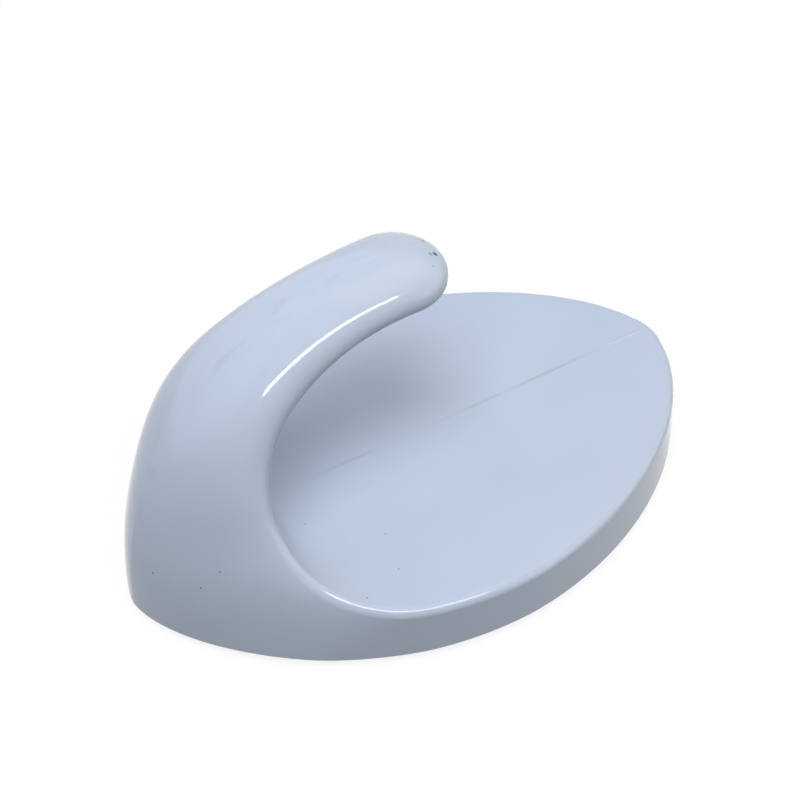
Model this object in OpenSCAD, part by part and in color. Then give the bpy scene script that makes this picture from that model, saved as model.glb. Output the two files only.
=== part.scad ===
// Adhesive wall hook: one moulded plate and curled hook on a foam mounting pad.
// Lying on its back: +Z away from the wall, +Y up the wall, X across.

/* [Plate] */
// length of the oval plate, up the wall
plate_len = 66; // [63:0.5:69]
// width of the oval plate
plate_w = 45; // [43:0.5:47]
// where the oval is widest, from the heel
widest_at = 32; // [31:0.5:34]
// fullness of the top end, lower is more pointed
top_taper = 1.72; // [1.5:0.02:1.9]
// how soon the sides draw in towards the top end, lower is sooner
top_draw = 1.77; // [1.7:0.01:2]
// fullness of the bottom end, lower is more pointed
bottom_taper = 1.56; // [1.5:0.02:1.8]
// thickness of the plate at its top end
plate_t = 5.6; // [5:0.1:6]
// how much the plate thickens on its way to the hook
plate_rise = 0.5; // [0.2:0.05:0.7]
// radius on the front edge of the plate
rim_r = 0.9; // [0.6:0.1:1.2]
// how far the side wall leans out towards the back, near the top end
wall_lean = 0.57; // [0.3:0.01:0.8]
// length over which that lean grows, from where the hook begins
lean_run = 30; // [26:1:34]

/* [Hook] */
// where the plate begins to turn up into the hook, from the heel
root_at = 22.1; // [21:0.1:24]
// pull of the inner curve along the plate
root_sweep = 17.1; // [16:0.1:19]
// how far up the wall the inner curve ends, from the heel
tip_at = 30.7; // [29:0.1:33]
// height of the finger's inner face above the back of the plate
tip_height = 25.9; // [24.5:0.1:27.5]
// pull of the inner curve along the finger
finger_sweep = 18.7; // [17.4:0.1:20]
// slope of the finger where it ends, in degrees
tip_slope = 0; // [-3:0.5:4]
// thickness of the finger where the rounded tip begins
finger_t = 5.2; // [4.8:0.1:6]
// length of the rounded tip
tip_len = 5.3; // [4.8:0.1:6]
// angle of the heel to the wall, in degrees
heel_angle = 88; // [86:0.5:90]
// pull of the back curve up from the heel
heel_sweep = 17; // [15:0.2:18]
// pull of the back curve along the finger
back_sweep = 21.6; // [20:0.2:23.6]
// width of the hook at its waist
waist_w = 20.4; // [18.8:0.2:22]
// place of the waist along the inner curve, as a share
waist_at = 0.43; // [0.41:0.01:0.46]
// width of the finger where the rounded tip begins
tip_w = 10.8; // [10.2:0.2:12]
// growth of the half-width towards the tip
tip_swell = 3; // [0:0.5:6]

/* [Edges] */
// flatness of the root's flanks, lower is flatter
root_flank = 1.28; // [1.2:0.02:1.5]
// roundness of the heel, higher is rounder
heel_round = 1.64; // [1.5:0.02:1.8]
// roundness of the finger's section, 2 is an ellipse
finger_round = 2.1; // [2:0.05:2.4]
// share of the finger's thickness on the inner side of its widest line
edge_share = 0.44; // [0.4:0.01:0.5]
// share of the inner curve where the edges begin to round over
round_from = 0.34; // [0.3:0.01:0.38]
// share of the inner curve where the section is fully round
round_to = 0.7; // [0.66:0.01:0.74]
// crown of the inner face in the root
root_crown = 0.52; // [0.2:0.02:0.8]
// share of the inner curve where that crown is highest
crown_at = 0.3; // [0.27:0.01:0.33]
// share of the inner curve over which the flank's foot leaves the plate's oval
foot_blend = 0.16; // [0.12:0.01:0.2]

/* [Back] */
// depth of the recess for the pad
recess_d = 0.8; // [0.6:0.05:1]
// wall left round that recess
recess_wall = 3; // [2.6:0.1:3.6]
// diameter of the core pocket under the hook's root
core_d = 7.6; // [6.8:0.1:8.2]
// height of that pocket above the recess
core_h = 13; // [11:0.5:14]
// distance of that pocket from the heel
core_at = 8.2; // [7.8:0.1:8.6]
// diameter of the two smaller pockets beside it
side_core_d = 6.2; // [5.6:0.1:6.8]
// height of those pockets above the recess
side_core_h = 5; // [4:0.2:5.6]
// distance of those pockets from the middle
side_core_x = 9; // [8.6:0.1:9.4]
// distance of those pockets from the heel
side_core_at = 12; // [11.6:0.1:12.6]
// draft of the pockets, as a share of the diameter lost at the top
core_draft = 0.18; // [0.1:0.01:0.25]

/* [Pad] */
// gap between the pad and the wall of the recess
pad_gap = 0.25; // [0.15:0.05:0.4]
// thickness of the foam
foam_t = 1.6; // [1.4:0.1:2]
// thickness of each adhesive film
film_t = 0.1; // [0.08:0.01:0.15]
// how far the foam stands back from the edge of the films
foam_back = 0.15; // [0.1:0.05:0.3]
// thickness of the release liner
liner_t = 0.15; // [0.12:0.01:0.2]
// how far the liner stands out past the pad
liner_out = 0.6; // [0.4:0.1:0.9]
// radius of the liner's lifting tab
tab_r = 5; // [4.4:0.1:5.6]
// how far the tab stands out past the end of the liner
tab_out = 1.4; // [1:0.1:1.8]

/* [Hidden] */
// stations along the plate, before and after the heel, round the tip
n_plate = 32;
n_heel = 20;
n_finger = 30;
n_cap = 8;
// points on the flank, on the rounded edge and on the inner face of a half section
n_side = 11;
n_edge = 7;
n_face = 5;
// points on half of a flat outline
n_flat = 30;
$fn = 64;
// how much closer the stations lie at the plate's top end, at the heel and at the root of the finger
top_crowd = 2.2;
heel_crowd = 1.5;
finger_crowd = 1.3;
// steepest turn of the rounded tip that still gets a section, in degrees
cap_end = 87;
// half-width below which the side wall's lean dies away, at the very top
lean_fade = 3;
// size below which a length counts as nothing
tiny = 0.02;
// a length that stands for an endless flank
endless = 4000;
// levels of the layers, from the liner's outer face
z_back_film = liner_t;
z_foam = z_back_film + film_t;
z_front_film = z_foam + foam_t;
z_recess = z_front_film + film_t;
z_body = z_recess - recess_d;
// outlines, as distances in from the plate's edge
in_recess = recess_wall;
in_film = in_recess + pad_gap;
in_foam = in_film + foam_back;
in_liner = in_film - liner_out;
// the heel lies at y = 0 in the curves below, the middle of the plate at y = 0 in the part
y_mid = plate_len / 2;

function lerp(a, b, k) = a + (b - a) * k;
function clamp01(k) = min(1, max(0, k));
function ease(k) = clamp01(k) * clamp01(k) * (3 - 2 * clamp01(k));
// a cubic curve with two end points and two pulls, and its direction
function curve(p, u) =
    pow(1 - u, 3) * p[0] + 3 * pow(1 - u, 2) * u * p[1]
    + 3 * (1 - u) * u * u * p[2] + pow(u, 3) * p[3];
function heading(p, u) =
    let (d = pow(1 - u, 2) * (p[1] - p[0])
            + 2 * (1 - u) * u * (p[2] - p[1])
            + u * u * (p[3] - p[2]))
    d / norm(d);
// half-width of an oval that stands in by g from the plate's edge
function oval(y, g = 0) =
    let (w = plate_w / 2 - g,
         up = clamp01((y - widest_at) / (plate_len - g - widest_at)),
         down = clamp01((widest_at - y) / (widest_at - g)))
    y > widest_at
        ? w * pow(1 - pow(up, top_draw), 1 / top_taper)
        : w * pow(1 - down * down, 1 / bottom_taper);
function oval_slope(y) = (oval(y + tiny) - oval(y - tiny)) / (2 * tiny);

// inner curve of the hook, from the plate to the tip
tip = [tip_at, tip_height];
along = [cos(tip_slope), sin(tip_slope)];
across = [-along[1], along[0]];
root = [root_at, plate_t + plate_rise];
root_pitch = 3 * plate_rise / (plate_len - root_at);
inner = [root, root + root_sweep * [-1, root_pitch], tip - finger_sweep * along, tip];
// back of the hook, from the heel to the tip
back_end = tip + finger_t * across;
heel_dir = [cos(heel_angle), sin(heel_angle)];
back = [[0, 0], heel_sweep * heel_dir, back_end - back_sweep * along, back_end];
// the back runs on straight below the wall plane, as the flanks do before they are cut off there
function spine(v) = v < 0 ? endless * v * heel_dir : curve(back, v);
function side_of(v, c, t) = (spine(v) - c) * t;
function meet(c, t, lo, hi, n = 34) =
    let (mid = (lo + hi) / 2)
    n == 0 ? mid
    : side_of(mid, c, t) < 0 ? meet(c, t, mid, hi, n - 1)
    : meet(c, t, lo, mid, n - 1);
// depth of the back below the inner curve, square to that curve
function depth(u) =
    let (c = curve(inner, u), t = heading(inner, u))
    side_of(-1, c, t) > 0 ? 10 * endless : norm(spine(meet(c, t, -1, min(1, 0.35 + u))) - c);
// depth of the wall plane below the inner curve
function floor_depth(u) =
    let (t = heading(inner, u)) -t[0] > tiny / 10 ? curve(inner, u)[1] / -t[0] : 10 * endless;
// share of the inner curve at which the heel is reached
function heel_share(lo, hi, n = 30) =
    let (mid = (lo + hi) / 2)
    n == 0 ? mid
    : depth(mid) > floor_depth(mid) ? heel_share(mid, hi, n - 1)
    : heel_share(lo, mid, n - 1);
u_heel = heel_share(0.05, 0.6);

// half-width of the hook along the inner curve
w_root = oval(root_at);
w_pitch = -3 * root_sweep * oval_slope(root_at);
w_turn = ((waist_w / 2 - w_root) / waist_at * (1 - waist_at)
    + (tip_w - waist_w) / 2 / (1 - waist_at) * waist_at);
function blend(k, h, a, sa, b, sb) =
    a * (1 + 2 * k) * pow(1 - k, 2) + sa * h * k * pow(1 - k, 2)
    + b * k * k * (3 - 2 * k) + sb * h * k * k * (k - 1);
function half_w(u) =
    let (past = 1 - waist_at)
    u < waist_at
        ? blend(u / waist_at, waist_at, w_root, w_pitch, waist_w / 2, w_turn)
        : blend((u - waist_at) / past, past, waist_w / 2, w_turn, tip_w / 2, tip_swell);

// half of a section: the middle of the back, the flank, the rounded edge, the inner face
// c inner point, m direction into the throat, t depth of the back, f depth of the wall plane,
// w half-width, e depth of the widest line, i half-width of the face, n and r powers of the flank,
// q power of the edge, k fall of the face towards the edge, g lean of the flank towards the back
function half_section(c, m, t, f, w, e, i, n, r, q, k, g = 0) =
    let (cut = min(t, f),
         share = clamp01((cut - e) / (t - e)),
         top = asin(pow(share, n / 2)),
         skip = t <= f ? min(0.5, f / t - 0.9) : 0,
         flat = concat(
            [[0, cut]],
            [for (j = [0 : n_side - 1])
                let (a = top * (1 - (j + skip) / (n_side - 1 + skip)),
                     d = pow(max(sin(a), 0), 2 / n) * (t - e))
                [w * pow(max(cos(a), 0), 2 / r) + g * d / (cut - e), e + d]],
            [for (j = [1 : n_edge - 1])
                let (a = 90 * j / (n_edge - 1))
                [i + (w - i) * pow(max(cos(a), 0), 2 / q), e - (e - k) * pow(sin(a), 2 / q)]],
            [for (j = [1 : n_face - 1])
                let (s = 1 - j / (n_face - 1))
                [i * s, k * pow(s, 2.5)]]))
    [for (p = flat) [p[0], c[0] - p[1] * m[0], c[1] - p[1] * m[1]]];

// a section of the plate, square to the wall
function plate_section(y) =
    let (w = oval(y),
         lean = sqrt(1 + pow(oval_slope(min(y, plate_len - 1.5 * tiny)), 2)),
         reach = w / lean,
         r = min(rim_r, reach),
         fall = reach < rim_r ? rim_r - sqrt(rim_r * rim_r - pow(rim_r - reach, 2)) : 0,
         z = plate_t - fall + plate_rise * pow((plate_len - y) / (plate_len - root_at), 3),
         out = wall_lean * ease((y - root_at) / lean_run) * min(1, w / lean_fade))
    half_section([y, z], [0, 1], 10 * endless, z, w, r, max(w - r * lean, 0), 2, 2, 2, 0, out);
// a section of the hook, square to the inner curve
function hook_section(u) =
    let (h = heading(inner, u),
         c = curve(inner, u),
         t = depth(u),
         f = floor_depth(u),
         w = half_w(u),
         foot = f < t ? (oval(c[0] - f * h[1]) - w) * (1 - ease(u / foot_blend)) : 0,
         s = ease((u - round_from) / (round_to - round_from)),
         crown = root_crown * pow(sin(180 * clamp01(u / (2 * crown_at))), 2))
    half_section(c, [h[1], -h[0]], t, f, w,
        crown + lerp(rim_r, min(t, endless) * edge_share, s), w - lerp(rim_r, w, s),
        lerp(root_flank, finger_round, s), lerp(heel_round, finger_round, s),
        lerp(2, finger_round, s), crown, foot);
// a section of the rounded tip
function tip_section(a) =
    let (s = cos(a), c = tip + across * finger_t * (1 - s) / 2 + along * tip_len * sin(a))
    half_section(c, -across, finger_t * s, endless, tip_w / 2 * s, finger_t * s * edge_share, 0,
        finger_round, finger_round, finger_round, 0);

// sections from the plate's top end to the hook's tip
y_top = plate_len - tiny;
sections = concat(
    [for (j = [0 : n_plate - 1])
        plate_section(lerp(y_top, root_at, pow(j / (n_plate - 1), top_crowd)))],
    [for (j = [1 : n_heel - 1]) hook_section(u_heel * (1 - pow(1 - j / n_heel, heel_crowd)))],
    [for (j = [0 : n_finger]) hook_section(lerp(u_heel + tiny / 1000, 1, pow(j / n_finger, finger_crowd)))],
    [for (j = [1 : n_cap]) tip_section(cap_end * j / n_cap)]);

// a solid through half sections that are mirrored in x = 0
module skin(halves) {
    n = len(halves);
    h = len(halves[0]);
    m = 2 * h - 2;
    rings = [for (s = halves) concat(s, [for (j = [h - 2 : -1 : 1]) [-s[j][0], s[j][1], s[j][2]]])];
    points = [for (r = rings) each r];
    walls = [for (i = [0 : n - 2]) for (j = [0 : m - 1])
        let (a = i * m + j, b = i * m + (j + 1) % m)
        each [[a, a + m, b + m], [a, b + m, b]]];
    first = [for (j = [0 : m - 1]) j];
    last = [for (j = [m - 1 : -1 : 0]) (n - 1) * m + j];
    polyhedron(points, concat(walls, [first, last]));
}
// flat outline that stands in by g from the plate's edge
function flat_outline(g) =
    let (right = [for (j = [0 : n_flat])
            let (y = lerp(g, plate_len - g, (1 - cos(180 * j / n_flat)) / 2))
            [oval(y, g), y]])
    concat(right, [for (j = [n_flat - 1 : -1 : 1]) [-right[j][0], right[j][1]]]);
module layer(g, z, t) {
    translate([0, -y_mid, z]) linear_extrude(t) polygon(flat_outline(g));
}
module pocket(x, y, d, h) {
    translate([x, y - y_mid, z_body]) cylinder(h = recess_d + h, d1 = d, d2 = d * (1 - core_draft));
}

module hook_body() {
    color([0.93, 0.95, 0.97])
    difference() {
        translate([0, -y_mid, z_body]) skin(sections);
        layer(in_recess, z_body - 1, recess_d + 1);
        pocket(0, core_at, core_d, core_h);
        pocket(side_core_x, side_core_at, side_core_d, side_core_h);
        pocket(-side_core_x, side_core_at, side_core_d, side_core_h);
    }
}
module front_adhesive_film() {
    color([0.9, 0.9, 0.82]) layer(in_film, z_front_film, film_t);
}
module foam_pad() {
    color([0.96, 0.96, 0.94]) layer(in_foam, z_foam, foam_t);
}
module back_adhesive_film() {
    color([0.9, 0.9, 0.82]) layer(in_film, z_back_film, film_t);
}
module release_liner() {
    color([0.72, 0.84, 0.93])
    union() {
        layer(in_liner, 0, liner_t);
        translate([0, y_mid - in_liner + tab_out - tab_r, 0]) cylinder(h = liner_t, r = tab_r);
    }
}

hook_body();
front_adhesive_film();
foam_pad();
back_adhesive_film();
release_liner();
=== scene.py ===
"""Adhesive wall hook: looks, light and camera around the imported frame.

Driving sizes are millimetres, angles are degrees, and Blender works in metres.
The hook lies on its back: +Z away from the wall, +Y up the wall, X across."""
import math

import bmesh
import bpy
import numpy as np
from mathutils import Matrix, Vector
from mathutils.bvhtree import BVHTree


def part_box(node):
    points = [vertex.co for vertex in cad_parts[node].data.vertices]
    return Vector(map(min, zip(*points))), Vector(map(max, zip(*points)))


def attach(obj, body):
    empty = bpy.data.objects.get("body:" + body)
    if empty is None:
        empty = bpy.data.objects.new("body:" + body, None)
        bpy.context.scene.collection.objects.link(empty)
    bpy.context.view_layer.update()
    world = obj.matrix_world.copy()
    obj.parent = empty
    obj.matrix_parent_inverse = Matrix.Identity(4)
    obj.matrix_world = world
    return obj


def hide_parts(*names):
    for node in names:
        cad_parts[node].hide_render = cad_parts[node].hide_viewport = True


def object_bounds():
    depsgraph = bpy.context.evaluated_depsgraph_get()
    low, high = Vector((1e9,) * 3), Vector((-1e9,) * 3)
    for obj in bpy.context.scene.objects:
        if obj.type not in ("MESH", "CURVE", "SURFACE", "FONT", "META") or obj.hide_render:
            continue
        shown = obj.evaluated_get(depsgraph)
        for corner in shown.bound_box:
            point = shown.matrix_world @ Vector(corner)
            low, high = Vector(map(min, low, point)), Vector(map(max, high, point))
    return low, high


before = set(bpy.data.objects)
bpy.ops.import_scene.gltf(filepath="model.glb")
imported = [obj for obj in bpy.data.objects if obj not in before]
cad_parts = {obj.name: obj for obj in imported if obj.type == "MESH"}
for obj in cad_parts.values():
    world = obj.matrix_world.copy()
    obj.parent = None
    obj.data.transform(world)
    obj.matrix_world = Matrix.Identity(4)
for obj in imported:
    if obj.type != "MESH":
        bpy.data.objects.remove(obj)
CAD_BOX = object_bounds()
MM = 0.001

# the moulding's box, from the frame
BODY_LOW, BODY_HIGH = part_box("hook_body")
HEEL_Y = BODY_LOW.y / MM
BACK_Z = BODY_LOW.z / MM
PLATE_LEN = BODY_HIGH.y / MM - HEEL_Y
HOOK_H = BODY_HIGH.z / MM - BACK_Z

# the plate, measured from the heel, a hair narrower than the CAD's so that this finer mesh fits inside
PLATE_W = 44.95
WIDEST_AT = 32.0
TOP_TAPER = 1.72
TOP_DRAW = 1.77
BOTTOM_TAPER = 1.56
PLATE_T = 5.6
PLATE_RISE = 0.5
RIM_R = 0.9
WALL_LEAN = 0.57
LEAN_RUN = 30.0
LEAN_FADE = 3.0

# the hook: an inner curve and a back curve, each with a pull at both ends
ROOT_AT = 22.1
ROOT_SWEEP = 17.1
TIP_AT = 30.7
FINGER_SWEEP = 18.7
FINGER_T = 5.2
TIP_LEN = 5.3
HEEL_ANGLE = 88.0
HEEL_SWEEP = 17.0
BACK_SWEEP = 21.6
WAIST_W = 20.4
WAIST_AT = 0.43
TIP_W = 10.8
TIP_SWELL = 3.0

# the sections: how flat the root's flanks are, how edges round over, how far the foot keeps to the oval
CIRCLE = 2
ROOT_FLANK = 1.28
HEEL_ROUND = 1.64
FINGER_ROUND = 2.1
EDGE_SHARE = 0.44
ROUND_FROM = 0.34
ROUND_TO = 0.7
ROOT_CROWN = 0.52
CROWN_AT = 0.3
CROWN_POWER = 2.5
FOOT_BLEND = 0.16

# the back: recess for the pad and core pockets as (x, y from the heel, diameter, height)
RECESS_D = 0.8
RECESS_WALL = 3.0
CORE_POCKETS = ((0.0, 8.2, 7.6, 13.0), (9.0, 12.0, 6.2, 5.0), (-9.0, 12.0, 6.2, 5.0))
CORE_DRAFT = 0.18
CUT_OVER = 1.0

# lengths: too small to see, the least to divide by, past any section, and where a back or wall is missing
TINY = 0.02
LEAST = 1e-9
ENDLESS = 4000.0
NO_BACK = 10 * ENDLESS

# shares of the curves: where the heel's corner is looked for, and how far the back may run ahead
HEEL_BETWEEN = (0.05, 0.6)
BACK_AHEAD = 0.35

# fineness of the mesh, and how far a closed flank's first point keeps off the back's middle
N_PLATE = 64
N_HEEL = 46
N_FINGER = 90
N_TIP = 22
N_FLANK = 30
N_EDGE = 14
N_FACE = 12
N_OUTLINE = 90
TOP_CROWD = 2.2
HEEL_CROWD = 1.5
FINGER_CROWD = 1.15
TIP_END = 89.3
SKIP_FROM = 0.9
SKIP_MOST = 0.5

# marks that the mould leaves: a parting ridge round the middle and an ejector's ring
RIDGE_R = 0.6
RIDGE_SHOWS = 0.006
FLASH_R = 0.4
FLASH_SHOWS = 0.05
TOP_FLASH = (59.5, 65.4)
HEEL_FLASH = (8.2, 13.4)
FLASH_FADE = 0.8
RIDGE_SIDES = 48
EJECTOR_AT = (9.5, 19.7)
EJECTOR_R = 1.15
EJECTOR_RIDGE_R = 0.3
EJECTOR_SHOWS = 0.012

# the pad's foam draws in between its two films
FOAM_DRAWS_IN = 0.14
FOAM_LEVELS = 8

# sizes of the patterns in the materials
FLOW_MOTTLE = 9.0
SEAM_LINE_PATCH = 5.0
SCUFF_FLECK = 1.2
POLISH_PATCH = 4.0
SKIN_RIPPLE = 1.6
FOAM_CELL = 0.35
COATING_RIPPLE = 3.0
PAPER_FIBRE = 0.5

# dark parting line and scuffs: half-widths where it ends and is full, what breaks it up, how much it
# darkens
SEAM_LINE_HALF_W = (0.32, 0.02)
SEAM_LINE_NOISE = (0.4, 0.66)
SEAM_LINE_DARKENS = (0.04, 0.26)
SEAM_LINE_FADE = 2.0
ROOT_FADE = 4.0
SCUFF_HALF_W = (1.8, 0.1)
SCUFF_NOISE = (0.5, 0.75)
SCUFF_STRETCH = (1.6, 0.5, 0.5)
SCUFF_DARKENS = 0.15
SCUFF_HEIGHT = (9.0, 14.0)

# specks in the skin, as (x, y from the heel, z from the plate's back, radius, darkness)
SPECKS = (
    (1.6, 34.5, 30.15, 0.32, 1.0),
    (1.65, 33.95, 30.4, 0.3, 0.4),
    (-0.55, 34.55, 30.25, 0.34, 0.5),
    (3.1, 33.25, 30.2, 0.14, 0.3),
    (5.95, 16.65, 7.15, 0.14, 0.5),
    (10.5, 23.1, 6.1, 0.14, 0.4),
    (15.0, 21.7, 6.1, 0.12, 0.6),
    (16.85, 17.0, 6.9, 0.14, 0.6),
    (3.15, 1.5, 6.85, 0.16, 0.6),
    (7.7, 4.35, 7.4, 0.14, 0.7),
    (8.8, 6.0, 9.75, 0.18, 0.4),
)

# roughness of the skin, polished and on the plate's front, and which faces count as that front
POLISHED = (0.06, 0.11)
FRONT_ROUGHNESS = 0.36
FRONT_WAY = (0.0, 0.6, 0.8)
FRONT_FACES = (0.4, 0.75)
FRONT_HEIGHT = (22.0, 14.0)
FRONT_TURN = (0.5, 0.2)

# the floor: half its width and where it whitens, in metres, how white it is there, its glow and its gap
FLOOR_HALF = 1.5
FLOOR_RUN = (0.06, 0.3)
FLOOR_WHITE = (0.82, 1.0)
FLOOR_GLOW = 1.04
FLOOR_GAP = 0.05

# how far the lamps stand from the hook, in metres, and the one among them that only gloss shows
LAMP_AWAY = 0.6
SHADE_AWAY = 0.58

# camera, as the photograph was taken
CAMERA_AZIMUTH = 56.98
CAMERA_ELEVATION = 43.47
CAMERA_DISTANCE = 150.24
CAMERA_TARGET = (-3.07, 0.61, 9.15)
FOCAL_PX = 1412.9
PHOTO_PX = 800
SENSOR_MM = 36.0
CAMERA_NEAR = 10.0


def clamp01(k):
    return min(1.0, max(0.0, k))


def lerp(a, b, k):
    return a + (b - a) * k


def ease(k):
    k = clamp01(k)
    return k * k * (3 - 2 * k)


def cubic(ends, u):
    """A point of a cubic curve with two end points and two pulls."""
    a, b, c, d = ends
    return (1 - u) ** 3 * a + 3 * (1 - u) ** 2 * u * b + 3 * (1 - u) * u * u * c + u ** 3 * d


def cubic_heading(ends, u):
    """The direction of that curve, of length one."""
    a, b, c, d = ends
    step = (1 - u) ** 2 * (b - a) + 2 * (1 - u) * u * (c - b) + u * u * (d - c)
    return step / np.linalg.norm(step)


def oval(y, inset=0.0):
    """Half-width of the plate's oval at y, or of one that stands in from it."""
    half = PLATE_W / 2 - inset
    if y > WIDEST_AT:
        up = clamp01((y - WIDEST_AT) / (PLATE_LEN - inset - WIDEST_AT))
        return half * (1 - up ** TOP_DRAW) ** (1 / TOP_TAPER)
    down = clamp01((WIDEST_AT - y) / (WIDEST_AT - inset))
    return half * (1 - down * down) ** (1 / BOTTOM_TAPER)


def oval_slope(y):
    return (oval(y + TINY) - oval(y - TINY)) / (2 * TINY)


# inner curve from the plate to the tip, and back curve from the heel to the tip, as (y, z)
TIP = np.array((TIP_AT, HOOK_H - FINGER_T))
ALONG = np.array((1.0, 0.0))
ACROSS = np.array((0.0, 1.0))
ROOT = np.array((ROOT_AT, PLATE_T + PLATE_RISE))
ROOT_PITCH = 3 * PLATE_RISE / (PLATE_LEN - ROOT_AT)
INNER = (ROOT, ROOT + ROOT_SWEEP * np.array((-1, ROOT_PITCH)), TIP - FINGER_SWEEP * ALONG, TIP)
BACK_END = TIP + FINGER_T * ACROSS
HEEL_DIR = np.array((math.cos(math.radians(HEEL_ANGLE)), math.sin(math.radians(HEEL_ANGLE))))
BACK = (np.zeros(2), HEEL_SWEEP * HEEL_DIR, BACK_END - BACK_SWEEP * ALONG, BACK_END)


def spine(v):
    """The back curve, which runs on straight below the wall plane."""
    return ENDLESS * v * HEEL_DIR if v < 0 else cubic(BACK, v)


def halve(low, high, before, steps=36):
    """The value between low and high up to which before() holds."""
    for _ in range(steps):
        middle = (low + high) / 2
        if before(middle):
            low = middle
        else:
            high = middle
    return (low + high) / 2


def back_depth(u):
    """Depth of the back below the inner curve, square to that curve."""
    point = cubic(INNER, u)
    ahead = cubic_heading(INNER, u)
    if (spine(-1) - point) @ ahead > 0:
        return NO_BACK
    v = halve(-1, min(1, BACK_AHEAD + u), lambda k: (spine(k) - point) @ ahead < 0)
    return np.linalg.norm(spine(v) - point)


def wall_depth(u):
    """Depth of the wall plane below the inner curve, square to that curve."""
    run = -cubic_heading(INNER, u)[0]
    return cubic(INNER, u)[1] / run if run > TINY / 10 else NO_BACK


HEEL_SHARE = halve(*HEEL_BETWEEN, lambda u: back_depth(u) > wall_depth(u))


def hermite(k, span, a, slope_a, b, slope_b):
    """A smooth step from a to b over a span, with a slope at each end."""
    rest = 1 - k
    return (a * (1 + 2 * k) * rest ** 2 + slope_a * span * k * rest ** 2
            + b * k * k * (3 - 2 * k) - slope_b * span * k * k * rest)


def hook_half_width(u):
    """Half-width of the hook along the inner curve: plate, waist, tip."""
    root, waist, tip = oval(ROOT_AT), WAIST_W / 2, TIP_W / 2
    past = 1 - WAIST_AT
    turn = (waist - root) / WAIST_AT * past + (tip - waist) / past * WAIST_AT
    if u < WAIST_AT:
        start = -3 * ROOT_SWEEP * oval_slope(ROOT_AT)
        return hermite(u / WAIST_AT, WAIST_AT, root, start, waist, turn)
    return hermite((u - WAIST_AT) / past, past, waist, turn, tip, TIP_SWELL)


def half_section(centre, out, depth, wall, half_w, edge, face, flank_p, heel_p, edge_p, fall, lean=0.0):
    """Half a section from the middle of the back, over flank and edge, to the middle of the inner face.

    centre is the inner point and out the way into the throat; depth and wall are the back's and the
    wall plane's depths, edge that of the widest line; face is the half-width of the inner face, the
    three powers round flank, heel and edge, fall is how far the face drops at its edge, and lean is how
    far the flank stands out at the back."""
    cut = min(depth, wall)
    top = math.asin(clamp01((cut - edge) / (depth - edge)) ** (flank_p / 2))
    skip = min(SKIP_MOST, wall / depth - SKIP_FROM) if depth <= wall else 0.0
    flat = [(0.0, cut)]
    for j in range(N_FLANK):
        a = top * (1 - (j + skip) / (N_FLANK - 1 + skip))
        down = max(math.sin(a), 0) ** (2 / flank_p) * (depth - edge)
        side = half_w * max(math.cos(a), 0) ** (2 / heel_p)
        flat.append((side + lean * down / (cut - edge), edge + down))
    for j in range(1, N_EDGE):
        a = math.pi / 2 * j / (N_EDGE - 1)
        side = face + (half_w - face) * max(math.cos(a), 0) ** (2 / edge_p)
        flat.append((side, edge - (edge - fall) * math.sin(a) ** (2 / edge_p)))
    for j in range(1, N_FACE):
        s = 1 - j / (N_FACE - 1)
        flat.append((face * s, fall * s ** CROWN_POWER))
    return [(x, centre[0] - d * out[0], centre[1] - d * out[1]) for x, d in flat]


def plate_z(y):
    """Height of the plate's front above its back."""
    return PLATE_T + PLATE_RISE * ((PLATE_LEN - y) / (PLATE_LEN - ROOT_AT)) ** 3


def plate_section(y):
    """A section of the plate, square to the wall, with its front edge rounded."""
    half_w = oval(y)
    slant = math.hypot(1, oval_slope(min(y, PLATE_LEN - 1.5 * TINY)))
    reach = half_w / slant
    r = min(RIM_R, reach)
    fall = RIM_R - math.sqrt(RIM_R ** 2 - (RIM_R - r) ** 2)
    z = plate_z(y) - fall
    face = max(half_w - r * slant, 0)
    lean = WALL_LEAN * ease((y - ROOT_AT) / LEAN_RUN) * clamp01(half_w / LEAN_FADE)
    return half_section((y, z), (0, 1), NO_BACK, z, half_w, r, face, CIRCLE, CIRCLE, CIRCLE, 0, lean)


def hook_section(u):
    """A section of the hook, square to the inner curve."""
    point = cubic(INNER, u)
    ahead = cubic_heading(INNER, u)
    depth = back_depth(u)
    wall = wall_depth(u)
    half_w = hook_half_width(u)
    foot = 0.0
    if wall < depth:
        foot = (oval(point[0] - wall * ahead[1]) - half_w) * (1 - ease(u / FOOT_BLEND))
    s = ease((u - ROUND_FROM) / (ROUND_TO - ROUND_FROM))
    crown = ROOT_CROWN * math.sin(math.pi * clamp01(u / (2 * CROWN_AT))) ** 2
    edge = crown + lerp(RIM_R, min(depth, ENDLESS) * EDGE_SHARE, s)
    face = half_w - lerp(RIM_R, half_w, s)
    flank_p = lerp(ROOT_FLANK, FINGER_ROUND, s)
    heel_p = lerp(HEEL_ROUND, FINGER_ROUND, s)
    edge_p = lerp(CIRCLE, FINGER_ROUND, s)
    return half_section(point, (ahead[1], -ahead[0]), depth, wall, half_w, edge, face,
                        flank_p, heel_p, edge_p, crown, foot)


def tip_section(angle):
    """A section of the rounded tip."""
    s = math.cos(angle)
    centre = TIP + ACROSS * FINGER_T * (1 - s) / 2 + ALONG * TIP_LEN * math.sin(angle)
    depth = FINGER_T * s
    return half_section(centre, -ACROSS, depth, ENDLESS, TIP_W / 2 * s, depth * EDGE_SHARE, 0,
                        FINGER_ROUND, FINGER_ROUND, FINGER_ROUND, 0)


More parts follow.
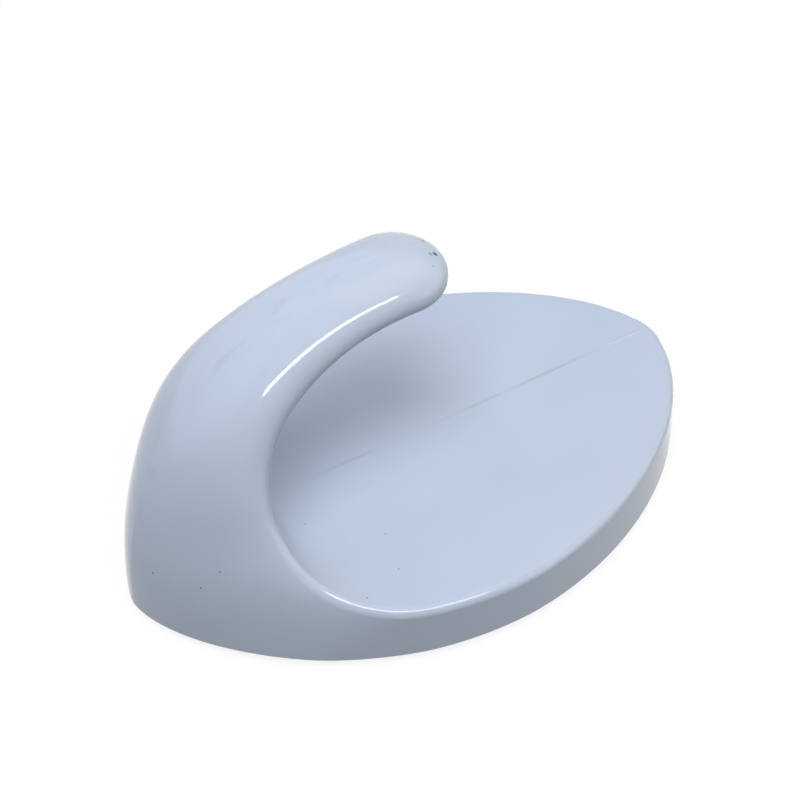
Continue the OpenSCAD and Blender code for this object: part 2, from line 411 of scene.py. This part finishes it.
def moulding_sections():
    """Half sections from the plate's top end to the hook's tip."""
    top = PLATE_LEN - TINY
    plate = [plate_section(lerp(top, ROOT_AT, (j / (N_PLATE - 1)) ** TOP_CROWD)) for j in range(N_PLATE)]
    heel = [hook_section(HEEL_SHARE * (1 - (1 - j / N_HEEL) ** HEEL_CROWD)) for j in range(1, N_HEEL)]
    first = HEEL_SHARE + TINY / 1000
    finger = [hook_section(lerp(first, 1, (j / N_FINGER) ** FINGER_CROWD)) for j in range(N_FINGER + 1)]
    turns = [math.radians(TIP_END) * math.sin(math.pi / 2 * j / N_TIP) for j in range(1, N_TIP + 1)]
    tip = [tip_section(turn) for turn in turns]
    return plate + heel + finger + tip


def y_at(length):
    """A length from the heel up the plate, as the frame's y in metres."""
    return (length + HEEL_Y) * MM


def z_at(height):
    """A height above the plate's back, as the frame's z in metres."""
    return (height + BACK_Z) * MM


def placed(point):
    """A point measured from the heel and the plate's back, in metres in the frame."""
    x, y, z = point
    return (x * MM, y_at(y), z_at(z))


def new_object(name, data):
    obj = bpy.data.objects.new(name, data)
    bpy.context.scene.collection.objects.link(obj)
    return obj


def skin(name, rings):
    """A closed object through rings of points."""
    count = len(rings[0])
    points = [placed(p) for ring in rings for p in ring]
    faces = [list(range(count)), list(range(len(points) - count, len(points)))]
    for i in range(len(rings) - 1):
        for j in range(count):
            a = i * count + j
            b = i * count + (j + 1) % count
            faces.append([a, a + count, b + count, b])
    mesh = bpy.data.meshes.new(name)
    mesh.from_pydata(points, [], faces)
    shape = bmesh.new()
    shape.from_mesh(mesh)
    bmesh.ops.recalc_face_normals(shape, faces=shape.faces)
    shape.to_mesh(mesh)
    shape.free()
    return new_object(name, mesh)


def oval_ring(inset, z, draw_in=0.0):
    """The outline of an oval that stands in from the plate's edge."""
    right = []
    for j in range(N_OUTLINE + 1):
        y = lerp(inset, PLATE_LEN - inset, (1 - math.cos(math.pi * j / N_OUTLINE)) / 2)
        right.append((oval(y, inset), y))
    left = [(-x, y) for x, y in right[-2:0:-1]]
    middle = PLATE_LEN / 2
    shrink = 1 - draw_in / middle
    return [(x * shrink, middle + (y - middle) * shrink, z) for x, y in right + left]


def circle_ring(x, y, r, z):
    turn = 2 * math.pi / N_OUTLINE
    return [(x + r * math.cos(j * turn), y + r * math.sin(j * turn), z) for j in range(N_OUTLINE)]


def plain_object(name, source):
    """The source's evaluated shape as a plain object, in the source's place."""
    graph = bpy.context.evaluated_depsgraph_get()
    mesh = bpy.data.meshes.new_from_object(source.evaluated_get(graph))
    mesh.name = name
    old = source.data
    bpy.data.objects.remove(source)
    bpy.data.meshes.remove(old)
    return new_object(name, mesh)


def smooth(obj, angle=40):
    """Smooth shading, with edges sharper than the angle left crisp."""
    obj.data.shade_smooth()
    obj.data.set_sharp_from_angle(angle=math.radians(angle))


def hook_moulding():
    """Plate and hook in one piece, with the pad's recess and the core pockets cut into the back."""
    rings = []
    for half in moulding_sections():
        rings.append(half + [(-x, y, z) for x, y, z in half[-2:0:-1]])
    body = skin("hook_skin", rings)
    cutters = [skin("recess_cutter", [oval_ring(RECESS_WALL, z) for z in (-CUT_OVER, RECESS_D)])]
    for x, y, d, h in CORE_POCKETS:
        narrow = d * (1 - CORE_DRAFT) / 2
        rings = [circle_ring(x, y, d / 2, 0.0), circle_ring(x, y, narrow, RECESS_D + h)]
        cutters.append(skin("core_cutter", rings))
    for cutter in cutters:
        cut = body.modifiers.new(cutter.name, "BOOLEAN")
        cut.operation = "DIFFERENCE"
        cut.solver = "EXACT"
        cut.object = cutter
    body = plain_object("hook_moulding", body)
    for cutter in cutters:
        bpy.data.objects.remove(cutter)
    smooth(body)
    return body


def linear(hex_colour):
    """A linear colour with alpha from an sRGB hex value such as "d8e4f4"."""
    values = [int(hex_colour[i:i + 2], 16) / 255 for i in (0, 2, 4)]
    return (*[v / 12.92 if v <= 0.04045 else ((v + 0.055) / 1.055) ** 2.4 for v in values], 1.0)


def add(tree, kind, inputs=None, **settings):
    """Adds a node with its settings; inputs holds a value or a linked socket for each input."""
    node = tree.nodes.new(kind)
    for key, value in settings.items():
        setattr(node, key, value)
    for key, value in (inputs or {}).items():
        if isinstance(value, bpy.types.NodeSocket):
            tree.links.new(value, node.inputs[key])
        else:
            node.inputs[key].default_value = value
    return node


def new_material(name):
    """A new material and its node tree, emptied."""
    material = bpy.data.materials.new(name)
    material.use_nodes = True
    material.node_tree.nodes.clear()
    return material, material.node_tree


def seam_line_and_scuffs(tree, place):
    """How much the skin darkens: a dark line along the plate's parting line, scuffs on the hook's back.
    """
    parts = add(tree, "ShaderNodeSeparateXYZ", {"Vector": place})
    off_middle = add(tree, "ShaderNodeMath", {0: parts.outputs["X"]}, operation="ABSOLUTE")
    line = add(tree, "ShaderNodeMapRange",
               {"Value": off_middle.outputs[0], "From Min": SEAM_LINE_HALF_W[0] * MM,
                "From Max": SEAM_LINE_HALF_W[1] * MM},
               interpolation_type="SMOOTHSTEP")
    line_breakup = add(tree, "ShaderNodeTexNoise",
                {"Vector": place, "Scale": 1 / (SEAM_LINE_PATCH * MM), "Detail": 4.0})
    patchy = add(tree, "ShaderNodeMapRange",
                 {"Value": line_breakup.outputs["Fac"], "From Min": SEAM_LINE_NOISE[0], "From Max": SEAM_LINE_NOISE[1],
                  "To Min": SEAM_LINE_DARKENS[0], "To Max": SEAM_LINE_DARKENS[1]})
    below_flash = add(tree, "ShaderNodeMapRange",
                      {"Value": parts.outputs["Y"], "From Min": y_at(TOP_FLASH[0]),
                       "From Max": y_at(TOP_FLASH[0] - SEAM_LINE_FADE)})
    past_root = add(tree, "ShaderNodeMapRange",
                    {"Value": parts.outputs["Y"], "From Min": y_at(ROOT_AT - ROOT_FADE),
                     "From Max": y_at(ROOT_AT + ROOT_FADE)})
    # the dark line along the plate's parting line: patchy, fading out towards the top flash and towards
    # the root
    seam_line = line
    for share in (patchy, below_flash, past_root):
        seam_line = add(tree, "ShaderNodeMath",
                    {0: seam_line.outputs[0], 1: share.outputs[0]}, operation="MULTIPLY")
    band = add(tree, "ShaderNodeMapRange",
               {"Value": off_middle.outputs[0], "From Min": SCUFF_HALF_W[0] * MM,
                "From Max": SCUFF_HALF_W[1] * MM, "To Max": SCUFF_DARKENS})
    drawn_out = add(tree, "ShaderNodeMapping", {"Vector": place, "Scale": SCUFF_STRETCH})
    rubbed = add(tree, "ShaderNodeTexNoise",
                 {"Vector": drawn_out.outputs[0], "Scale": 1 / (SCUFF_FLECK * MM), "Detail": 5.0})
    flecks = add(tree, "ShaderNodeMapRange",
                 {"Value": rubbed.outputs["Fac"], "From Min": SCUFF_NOISE[0], "From Max": SCUFF_NOISE[1]})
    scuffs = add(tree, "ShaderNodeMath", {0: band.outputs[0], 1: flecks.outputs[0]}, operation="MULTIPLY")
    on_hook = add(tree, "ShaderNodeMapRange",
                  {"Value": parts.outputs["Z"], "From Min": z_at(SCUFF_HEIGHT[0]),
                   "From Max": z_at(SCUFF_HEIGHT[1])})
    darkening = add(tree, "ShaderNodeMix", {0: on_hook.outputs[0], 2: seam_line.outputs[0], 3: scuffs.outputs[0]})
    return darkening.outputs[0]


def skin_colour(tree, place):
    """Cold white with a faint flow mottle, darkened along the parting line, by scuffs and by a few
    specks.
    """
    mottle = add(tree, "ShaderNodeTexNoise",
                 {"Vector": place, "Scale": 1 / (FLOW_MOTTLE * MM), "Detail": 3.0})
    tone = add(tree, "ShaderNodeMix",
               {0: mottle.outputs["Fac"], 6: linear("b9c7db"), 7: linear("bfcde1")}, data_type="RGBA")
    colour = add(tree, "ShaderNodeMix",
                 {0: seam_line_and_scuffs(tree, place), 6: tone.outputs[2], 7: linear("737c88")}, data_type="RGBA")
    for x, y, z, radius, darkness in SPECKS:
        away = add(tree, "ShaderNodeVectorMath", {0: place, 1: placed((x, y, z))}, operation="DISTANCE")
        dot = add(tree, "ShaderNodeMapRange",
                  {"Value": away.outputs["Value"], "From Min": radius * MM, "From Max": radius * MM / 2,
                   "To Max": darkness})
        colour = add(tree, "ShaderNodeMix",
                     {0: dot.outputs[0], 6: colour.outputs[2], 7: linear("2c2a2a")}, data_type="RGBA")
    return colour.outputs[2]


def skin_roughness(tree, surface):
    """Polished all over, but duller on the plate's front, short of its rim."""
    place = surface.outputs["Object"]
    normal = surface.outputs["Normal"]
    rub = add(tree, "ShaderNodeTexNoise",
              {"Vector": place, "Scale": 1 / (POLISH_PATCH * MM), "Detail": 5.0})
    polish = add(tree, "ShaderNodeMapRange",
                 {"Value": rub.outputs["Fac"], "To Min": POLISHED[0], "To Max": POLISHED[1]})
    facing = add(tree, "ShaderNodeVectorMath", {0: normal, 1: FRONT_WAY}, operation="DOT_PRODUCT")
    faces_out = add(tree, "ShaderNodeMapRange",
                    {"Value": facing.outputs["Value"], "From Min": FRONT_FACES[0],
                     "From Max": FRONT_FACES[1]})
    parts = add(tree, "ShaderNodeSeparateXYZ", {"Vector": place})
    below_hook = add(tree, "ShaderNodeMapRange",
                     {"Value": parts.outputs["Z"], "From Min": z_at(FRONT_HEIGHT[0]),
                      "From Max": z_at(FRONT_HEIGHT[1])})
    turned = add(tree, "ShaderNodeSeparateXYZ", {"Vector": normal})
    sideways = add(tree, "ShaderNodeMath", {0: turned.outputs["X"]}, operation="ABSOLUTE")
    off_rim = add(tree, "ShaderNodeMapRange",
                  {"Value": sideways.outputs[0], "From Min": FRONT_TURN[0], "From Max": FRONT_TURN[1]})
    front = faces_out
    for share in (below_hook, off_rim):
        front = add(tree, "ShaderNodeMath",
                    {0: front.outputs[0], 1: share.outputs[0]}, operation="MULTIPLY")
    rough = add(tree, "ShaderNodeMix", {0: front.outputs[0], 2: polish.outputs[0], 3: FRONT_ROUGHNESS})
    return rough.outputs[0]


def glossy_abs():
    """Injection-moulded ABS, gloss white with a cold cast: even colour, a clear skin that mirrors a lamp
    as a thin line on each edge, and a faint ripple from the mould."""
    material, tree = new_material("glossy_white_abs")
    surface = add(tree, "ShaderNodeTexCoord")
    place = surface.outputs["Object"]
    ripple = add(tree, "ShaderNodeTexNoise",
                 {"Vector": place, "Scale": 1 / (SKIN_RIPPLE * MM), "Detail": 1.0})
    bump = add(tree, "ShaderNodeBump",
               {"Height": ripple.outputs["Fac"], "Strength": 0.1, "Distance": 0.05 * MM})
    shader = add(tree, "ShaderNodeBsdfPrincipled",
                 {"Base Color": skin_colour(tree, place), "Roughness": skin_roughness(tree, surface),
                  "IOR": 1.53, "Normal": bump.outputs["Normal"]})
    add(tree, "ShaderNodeOutputMaterial", {"Surface": shader.outputs[0]})
    return material


def closed_cell_foam():
    """Closed-cell polyethylene foam: matt, off-white, with a grain of small cells on its cut edge."""
    material, tree = new_material("polyethylene_foam")
    place = add(tree, "ShaderNodeTexCoord").outputs["Object"]
    cells = add(tree, "ShaderNodeTexVoronoi", {"Vector": place, "Scale": 1 / (FOAM_CELL * MM)})
    tone = add(tree, "ShaderNodeMix",
               {0: cells.outputs["Distance"], 6: linear("f1f0ea"), 7: linear("d9d8d0")}, data_type="RGBA")
    bump = add(tree, "ShaderNodeBump",
               {"Height": cells.outputs["Distance"], "Strength": 0.5, "Distance": 0.08 * MM})
    shader = add(tree, "ShaderNodeBsdfPrincipled",
                 {"Base Color": tone.outputs[2], "Roughness": 0.9, "Normal": bump.outputs["Normal"]})
    add(tree, "ShaderNodeOutputMaterial", {"Surface": shader.outputs[0]})
    return material


def acrylic_adhesive():
    """Acrylic adhesive on a film: yellowish, wet-looking, with a faint ripple from coating."""
    material, tree = new_material("acrylic_adhesive")
    place = add(tree, "ShaderNodeTexCoord").outputs["Object"]
    ripple = add(tree, "ShaderNodeTexNoise",
                 {"Vector": place, "Scale": 1 / (COATING_RIPPLE * MM), "Detail": 2.0})
    tone = add(tree, "ShaderNodeMix",
               {0: ripple.outputs["Fac"], 6: linear("eeecdc"), 7: linear("e3e0cb")}, data_type="RGBA")
    bump = add(tree, "ShaderNodeBump",
               {"Height": ripple.outputs["Fac"], "Strength": 0.3, "Distance": 0.1 * MM})
    shader = add(tree, "ShaderNodeBsdfPrincipled",
                 {"Base Color": tone.outputs[2], "Roughness": 0.3, "IOR": 1.47,
                  "Normal": bump.outputs["Normal"]})
    add(tree, "ShaderNodeOutputMaterial", {"Surface": shader.outputs[0]})
    return material


def siliconed_paper():
    """Silicone-coated glassine: pale blue, satin, with short paper fibres just visible."""
    material, tree = new_material("siliconed_paper")
    place = add(tree, "ShaderNodeTexCoord").outputs["Object"]
    stretched = add(tree, "ShaderNodeMapping", {"Vector": place, "Scale": (1.0, 0.25, 1.0)})
    fibres = add(tree, "ShaderNodeTexNoise",
                 {"Vector": stretched.outputs[0], "Scale": 1 / (PAPER_FIBRE * MM), "Detail": 4.0})
    tone = add(tree, "ShaderNodeMix",
               {0: fibres.outputs["Fac"], 6: linear("c3dcee"), 7: linear("b3d0e6")}, data_type="RGBA")
    bump = add(tree, "ShaderNodeBump",
               {"Height": fibres.outputs["Fac"], "Strength": 0.2, "Distance": 0.03 * MM})
    shader = add(tree, "ShaderNodeBsdfPrincipled",
                 {"Base Color": tone.outputs[2], "Roughness": 0.45, "Normal": bump.outputs["Normal"]})
    add(tree, "ShaderNodeOutputMaterial", {"Surface": shader.outputs[0]})
    return material


def mould_line_tree(material):
    """Geometry Nodes: a round ridge swept along a path, as thick as the path's own attribute says."""
    tree = bpy.data.node_groups.new("mould_line", "GeometryNodeTree")
    tree.interface.new_socket("Path", in_out="INPUT", socket_type="NodeSocketGeometry")
    tree.interface.new_socket("Sides", in_out="INPUT", socket_type="NodeSocketInt")
    tree.interface.new_socket("Ridge", in_out="OUTPUT", socket_type="NodeSocketGeometry")
    given = add(tree, "NodeGroupInput")
    path = add(tree, "GeometryNodeMeshToCurve", {"Mesh": given.outputs["Path"]})
    radius = add(tree, "GeometryNodeInputNamedAttribute", {"Name": "ridge_radius"}, data_type="FLOAT")
    profile = add(tree, "GeometryNodeCurvePrimitiveCircle",
                  {"Resolution": given.outputs["Sides"], "Radius": 1.0}, mode="RADIUS")
    swept = add(tree, "GeometryNodeCurveToMesh",
                {"Curve": path.outputs[0], "Profile Curve": profile.outputs["Curve"],
                 "Scale": radius.outputs["Attribute"], "Fill Caps": True})
    rounded = add(tree, "GeometryNodeSetShadeSmooth", {"Geometry": swept.outputs[0]})
    real = add(tree, "GeometryNodeRealizeInstances", {"Geometry": rounded.outputs[0]})
    painted = add(tree, "GeometryNodeSetMaterial", {"Geometry": real.outputs[0], "Material": material})
    add(tree, "NodeGroupOutput", {"Ridge": painted.outputs[0]})
    return tree


def mould_line(name, tree, path, radii, closed):
    """A ridge along a path of points from the heel; radii are millimetres, one for each point."""
    points = [placed(p) for p in path]
    edges = [(i, i + 1) for i in range(len(points) - 1)]
    if closed:
        edges.append((len(points) - 1, 0))
    mesh = bpy.data.meshes.new(name)
    mesh.from_pydata(points, edges, [])
    attribute = mesh.attributes.new("ridge_radius", "FLOAT", "POINT")
    attribute.data.foreach_set("value", [r * MM for r in radii])
    source = new_object(name + "_path", mesh)
    sweep = source.modifiers.new("sweep", "NODES")
    sweep.node_group = tree
    for item in tree.interface.items_tree:
        if item.name == "Sides":
            sweep[item.identifier] = RIDGE_SIDES
    return plain_object(name, source)


def within(value, ends):
    """One between two ends, easing to nothing at each."""
    return ease((value - ends[0]) / FLASH_FADE) * ease((ends[1] - value) / FLASH_FADE)


def parting_path():
    """The moulding's middle line, sunk so that only the ridge's crest shows, and the ridge's radii.

    A bit of flash stands on the plate's top end and on the heel. All of it stays inside the CAD box."""
    halves = moulding_sections()
    face = [half[-1][1:] for half in halves]
    back = [half[0][1:] for half in halves if half[0][2] > TINY]
    line = np.array(face + back[::-1])
    heading = np.gradient(line, axis=0)
    heading /= np.maximum(np.linalg.norm(heading, axis=1, keepdims=True), LEAST)
    inward = np.column_stack((-heading[:, 1], heading[:, 0]))
    path = []
    radii = []
    for (y, z), (in_y, in_z) in zip(line, inward):
        flash = within(y, TOP_FLASH) if y > WIDEST_AT and z < 2 * PLATE_T else 0.0
        if y < PLATE_T:
            flash = within(z, HEEL_FLASH)
        radius = lerp(RIDGE_R, FLASH_R, flash)
        sink = radius - lerp(RIDGE_SHOWS, FLASH_SHOWS, flash)
        y = min(max(y + in_y * sink, radius), PLATE_LEN - radius)
        z = min(max(z + in_z * sink, radius), HOOK_H - radius)
        path.append((0.0, y, z))
        radii.append(radius)
    return path, radii


def ejector_path(moulding):
    """A ring on the plate's front, sunk so that only its crest shows."""
    surface = BVHTree.FromObject(moulding, bpy.context.evaluated_depsgraph_get())
    path = []
    for x, y, z in circle_ring(*EJECTOR_AT, EJECTOR_R, HOOK_H / 2):
        hit = surface.ray_cast(Vector(placed((x, y, z))), Vector((0, 0, -1)))[0]
        path.append((x, y, hit.z / MM - BACK_Z - EJECTOR_RIDGE_R + EJECTOR_SHOWS))
    return path


def foam_core():
    """The pad's foam, drawn in a little between its films."""
    low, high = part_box("foam_pad")
    inset = (PLATE_W - (high.x - low.x) / MM) / 2
    rings = []
    for i in range(FOAM_LEVELS + 1):
        share = i / FOAM_LEVELS
        z = lerp(low.z, high.z, share) / MM - BACK_Z
        rings.append(oval_ring(inset, z, FOAM_DRAWS_IN * math.sin(math.pi * share)))
    foam = skin("foam_core", rings)
    smooth(foam)
    return foam


def paint(obj, material):
    obj.data.materials.clear()
    obj.data.materials.append(material)


def seen_rays(tree):
    """One for rays that look at a surface: straight from the camera, in a reflection or through glass."""
    ray = add(tree, "ShaderNodeLightPath")
    seen = add(tree, "ShaderNodeMath",
               {0: ray.outputs["Is Camera Ray"], 1: ray.outputs["Is Glossy Ray"]}, operation="MAXIMUM")
    seen = add(tree, "ShaderNodeMath",
               {0: seen.outputs[0], 1: ray.outputs["Is Transmission Ray"]}, operation="MAXIMUM")
    return seen.outputs[0]


def studio_floor():
    """A pale floor that looks white, keeps the hook's faint shadow and throws little light back."""
    level = CAD_BOX[0].z - FLOOR_GAP * MM
    mesh = bpy.data.meshes.new("studio_floor")
    corners = [(x * FLOOR_HALF, y * FLOOR_HALF, level) for x, y in ((-1, -1), (1, -1), (1, 1), (-1, 1))]
    mesh.from_pydata(corners, [], [[0, 1, 2, 3]])
    floor = new_object("studio_floor", mesh)
    material, tree = new_material("pale_floor_paint")
    bounce = add(tree, "ShaderNodeBsdfDiffuse", {"Color": linear("4e5054")})
    shaded = add(tree, "ShaderNodeBsdfDiffuse", {"Color": linear("f2f2f2")})
    white = add(tree, "ShaderNodeEmission", {"Color": linear("ffffff"), "Strength": FLOOR_GLOW})
    place = add(tree, "ShaderNodeTexCoord").outputs["Object"]
    away = add(tree, "ShaderNodeVectorMath", {0: place}, operation="LENGTH")
    whiter = add(tree, "ShaderNodeMapRange",
                 {"Value": away.outputs["Value"], "From Min": FLOOR_RUN[0], "From Max": FLOOR_RUN[1],
                  "To Min": FLOOR_WHITE[0], "To Max": FLOOR_WHITE[1]})
    pale = add(tree, "ShaderNodeMixShader",
               {0: whiter.outputs[0], 1: shaded.outputs[0], 2: white.outputs[0]})
    mixed = add(tree, "ShaderNodeMixShader",
                {0: seen_rays(tree), 1: bounce.outputs[0], 2: pale.outputs[0]})
    add(tree, "ShaderNodeOutputMaterial", {"Surface": mixed.outputs[0]})
    paint(floor, material)


def studio_sky():
    """A little even light from all round; the room itself looks plain white."""
    world = bpy.data.worlds.new("studio_sky")
    bpy.context.scene.world = world
    world.use_nodes = True
    tree = world.node_tree
    tree.nodes.clear()
    glow = add(tree, "ShaderNodeBackground", {"Color": linear("f4f6fa"), "Strength": 0.01})
    white = add(tree, "ShaderNodeBackground", {"Color": linear("ffffff"), "Strength": 1.0})
    mixed = add(tree, "ShaderNodeMixShader",
                {0: seen_rays(tree), 1: glow.outputs[0], 2: white.outputs[0]})
    add(tree, "ShaderNodeOutputWorld", {"Surface": mixed.outputs[0]})


def direction(azimuth, elevation):
    """From the hook towards a place: azimuth 0 is towards -Y and 90 towards +X."""
    a = math.radians(azimuth)
    e = math.radians(elevation)
    return Vector((math.sin(a) * math.cos(e), -math.cos(a) * math.cos(e), math.sin(e)))


def softbox(name, azimuth, elevation, size, watts, colour, away=LAMP_AWAY, mirrored=True, lights=True):
    """An area lamp that faces the hook; azimuth and elevation as the camera's, size in metres.

    mirrored says whether gloss shows it, and lights whether it lights what it faces."""
    lamp = bpy.data.lights.new(name, "AREA")
    lamp.shape = "RECTANGLE"
    lamp.size, lamp.size_y = size
    lamp.energy = watts
    lamp.color = linear(colour)[:3]
    obj = new_object(name, lamp)
    back = direction(azimuth, elevation)
    obj.visible_glossy = mirrored
    obj.visible_diffuse = lights
    obj.location = Vector(CAMERA_TARGET) * MM + back * away
    obj.rotation_euler = back.to_track_quat("Z", "Y").to_euler()


def studio_lamps():
    """Soft light from above on the camera's side, and panels at the other sides that shade the flanks.

    Gloss shows the shade in place of the first two, as a thin line on each edge."""
    softbox("key_softbox", 50, 68, (0.3, 0.3), 2.25, "ffffff", mirrored=False)
    softbox("tube_lamp", 77, 54, (0.6, 0.05), 0.9, "ffffff", mirrored=False)
    softbox("tube_shade", 82, 54, (0.47, 0.06), 1.55, "ffffff", away=SHADE_AWAY, lights=False)
    softbox("left_panel", 302, 37, (1.3, 0.8), 1.75, "e6eeff")
    softbox("right_panel", 147, 16, (0.8, 0.4), 0.85, "fffdf8")
    softbox("back_panel", 190, 62, (0.5, 0.5), 0.5, "fff4e2")


def photo_camera():
    """The camera that took the photograph, as fitted to its outline and seams."""
    data = bpy.data.cameras.new("photo_camera")
    data.sensor_width = SENSOR_MM
    data.lens = FOCAL_PX / PHOTO_PX * SENSOR_MM
    data.clip_start = CAMERA_NEAR * MM
    camera = new_object("photo_camera", data)
    back = direction(CAMERA_AZIMUTH, CAMERA_ELEVATION)
    camera.location = (Vector(CAMERA_TARGET) + back * CAMERA_DISTANCE) * MM
    camera.rotation_euler = back.to_track_quat("Z", "Y").to_euler()
    bpy.context.scene.camera = camera


def main():
    abs_skin = glossy_abs()
    moulding = hook_moulding()
    paint(moulding, abs_skin)
    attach(moulding, "hook")
    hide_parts("hook_body")

    ridge = mould_line_tree(abs_skin)
    path, radii = parting_path()
    parting = mould_line("parting_line", ridge, path, radii, closed=False)
    path = ejector_path(moulding)
    ejector = mould_line("ejector_mark", ridge, path, [EJECTOR_RIDGE_R] * len(path), closed=True)
    for mark in (parting, ejector):
        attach(mark, "hook")

    foam = foam_core()
    paint(foam, closed_cell_foam())
    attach(foam, "hook")
    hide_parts("foam_pad")

    adhesive = acrylic_adhesive()
    for node in ("front_adhesive_film", "back_adhesive_film"):
        paint(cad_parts[node], adhesive)
    paint(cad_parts["release_liner"], siliconed_paper())

    studio_floor()
    studio_sky()
    studio_lamps()
    photo_camera()
    bpy.context.scene.view_settings.view_transform = "Standard"


main()
